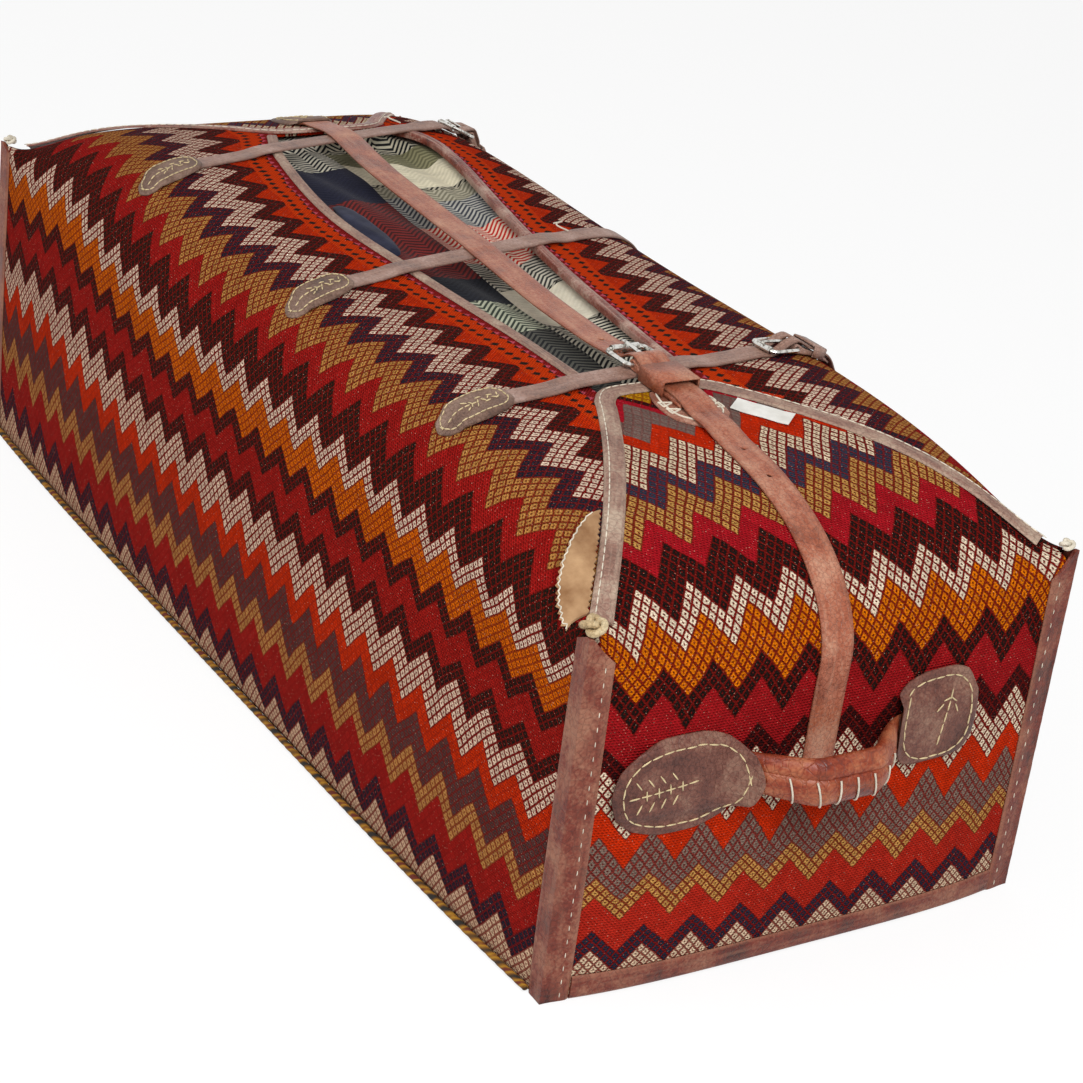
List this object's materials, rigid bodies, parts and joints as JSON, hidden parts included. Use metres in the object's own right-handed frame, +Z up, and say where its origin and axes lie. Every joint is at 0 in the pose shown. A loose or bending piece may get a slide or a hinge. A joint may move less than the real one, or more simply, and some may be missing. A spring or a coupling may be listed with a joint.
{
  "type": "camel bag",
  "caption": "Long stuffed flat-woven bedding bag with leather bindings, crossing straps with roller buckles over the mouth, and a padded handle on each end.",
  "frame": {"origin": "middle of the underside of the base panel, where the bag stands", "axes": "+Z up; +X along the bag to the near end, with the near handle and the long strap's tail; the front long side with the cross straps' sewn patches faces -Y"},
  "size_m": [1.3256, 0.5226, 0.4101],
  "materials": {
    "woven_panels": "flat-woven wool, dull",
    "blanket": "soft wool and cotton blanket",
    "navy_cloth": "plain dark cloth",
    "binding_leather": "worn red-brown leather",
    "strap_leather": "worn pinkish-tan leather, slight gloss",
    "patch_leather": "tan leather, thread motifs",
    "grip_leather": "padded red-brown leather, polished by hands",
    "suede": "suede side out",
    "selvedge": "thick wrapped wool edge",
    "rawhide": "twisted rawhide thong",
    "buckle_metal": "plated wire, slightly dull",
    "card": "plain white tag, blank"
  },
  "bodies": {
    "root": {"back_panel": "woven_panels", "base_binding_far": "binding_leather", "base_binding_near": "binding_leather", "base_panel": "woven_panels", "base_selvedge_back": "selvedge", "base_selvedge_front": "selvedge", "blank_tag": "card", "blanket_filling": "blanket", "corner_binding_far_back": "binding_leather", "corner_binding_far_front": "binding_leather", "corner_binding_near_back": "binding_leather", "corner_binding_near_front": "binding_leather", "cross_chape_far": "strap_leather", "cross_chape_middle": "strap_leather", "cross_chape_near": "strap_leather", "cross_keeper_far": "strap_leather", "cross_keeper_middle": "strap_leather", "cross_keeper_near": "strap_leather", "cross_patch_far": "patch_leather", "cross_patch_middle": "patch_leather", "cross_patch_near": "patch_leather", "cross_strap_far": "strap_leather", "cross_strap_middle": "strap_leather", "cross_strap_near": "strap_leather", "far_end_panel": "woven_panels", "far_strap_patch": "patch_leather", "flap_binding_far": "binding_leather", "flap_binding_near": "binding_leather", "front_panel": "woven_panels", "handle_far_grip": "grip_leather", "handle_far_left_patch": "patch_leather", "handle_far_right_patch": "patch_leather", "handle_near_grip": "grip_leather", "handle_near_left_patch": "patch_leather", "handle_near_right_patch": "patch_leather", "lip_binding_back": "binding_leather", "lip_binding_front": "binding_leather", "long_chape": "strap_leather", "long_keeper": "strap_leather", "long_strap": "strap_leather", "near_end_panel": "woven_panels", "near_strap_patch": "patch_leather", "rawhide_knot": "rawhide", "suede_leaf": "suede", "thread_knot_far": "rawhide", "thread_knot_near": "rawhide", "tucked_cloth": "navy_cloth"},
    "long_buckle_frame": {"long_buckle_frame": "buckle_metal"},
    "long_buckle_tongue": {"long_buckle_tongue": "buckle_metal"},
    "long_buckle_roller": {"long_buckle_roller": "buckle_metal"},
    "cross_buckle_far_frame": {"cross_buckle_far_frame": "buckle_metal"},
    "cross_buckle_far_tongue": {"cross_buckle_far_tongue": "buckle_metal"},
    "cross_buckle_far_roller": {"cross_buckle_far_roller": "buckle_metal"},
    "cross_buckle_middle_frame": {"cross_buckle_middle_frame": "buckle_metal"},
    "cross_buckle_middle_tongue": {"cross_buckle_middle_tongue": "buckle_metal"},
    "cross_buckle_middle_roller": {"cross_buckle_middle_roller": "buckle_metal"},
    "cross_buckle_near_frame": {"cross_buckle_near_frame": "buckle_metal"},
    "cross_buckle_near_tongue": {"cross_buckle_near_tongue": "buckle_metal"},
    "cross_buckle_near_roller": {"cross_buckle_near_roller": "buckle_metal"}
  },
  "joints": [
    {"name": "long_buckle_lift", "type": "hinge", "parent": "root", "child": "long_buckle_frame", "pos_m": [0.28387, 0, 0.40092], "axis": [0, 1, 0], "range_deg": [0, 5]},
    {"name": "long_buckle_tongue_lift", "type": "hinge", "parent": "long_buckle_frame", "child": "long_buckle_tongue", "pos_m": [0.28387, 0, 0.40092], "axis": [0, 1, 0], "range_deg": [0, 8]},
    {"name": "long_buckle_roller_spin", "type": "hinge", "parent": "long_buckle_frame", "child": "long_buckle_roller", "pos_m": [0.24787, 0, 0.40065], "axis": [0, 1, 0], "continuous": true},
    {"name": "cross_buckle_far_lift", "type": "hinge", "parent": "root", "child": "cross_buckle_far_frame", "pos_m": [-0.39826, 0.21247, 0.37402], "axis": [-0.9733, -0.2274, 0.0309], "range_deg": [0, 5]},
    {"name": "cross_buckle_far_tongue_lift", "type": "hinge", "parent": "cross_buckle_far_frame", "child": "cross_buckle_far_tongue", "pos_m": [-0.39826, 0.21247, 0.37402], "axis": [-0.9733, -0.2274, 0.0309], "range_deg": [0, 8]},
    {"name": "cross_buckle_far_roller_spin", "type": "hinge", "parent": "cross_buckle_far_frame", "child": "cross_buckle_far_roller", "pos_m": [-0.39148, 0.18522, 0.38716], "axis": [-0.9733, -0.2274, 0.0309], "continuous": true},
    {"name": "cross_buckle_middle_lift", "type": "hinge", "parent": "root", "child": "cross_buckle_middle_frame", "pos_m": [-0.09305, 0.25327, 0.26038], "axis": [-0.9775, -0.0055, 0.211], "range_deg": [0, 5]},
    {"name": "cross_buckle_middle_tongue_lift", "type": "hinge", "parent": "cross_buckle_middle_frame", "child": "cross_buckle_middle_tongue", "pos_m": [-0.09305, 0.25327, 0.26038], "axis": [-0.9775, -0.0055, 0.211], "range_deg": [0, 8]},
    {"name": "cross_buckle_middle_roller_spin", "type": "hinge", "parent": "cross_buckle_middle_frame", "child": "cross_buckle_middle_roller", "pos_m": [-0.08651, 0.25129, 0.29062], "axis": [-0.9775, -0.0055, 0.211], "continuous": true},
    {"name": "cross_buckle_near_lift", "type": "hinge", "parent": "root", "child": "cross_buckle_near_frame", "pos_m": [0.2651, 0.16733, 0.39303], "axis": [-0.9955, -0.0949, -0.0003], "range_deg": [0, 5]},
    {"name": "cross_buckle_near_tongue_lift", "type": "hinge", "parent": "cross_buckle_near_frame", "child": "cross_buckle_near_tongue", "pos_m": [0.2651, 0.16733, 0.39303], "axis": [-0.9955, -0.0949, -0.0003], "range_deg": [0, 8]},
    {"name": "cross_buckle_near_roller_spin", "type": "hinge", "parent": "cross_buckle_near_frame", "child": "cross_buckle_near_roller", "pos_m": [0.26803, 0.13655, 0.39533], "axis": [-0.9955, -0.0949, -0.0003], "continuous": true}
  ]
}
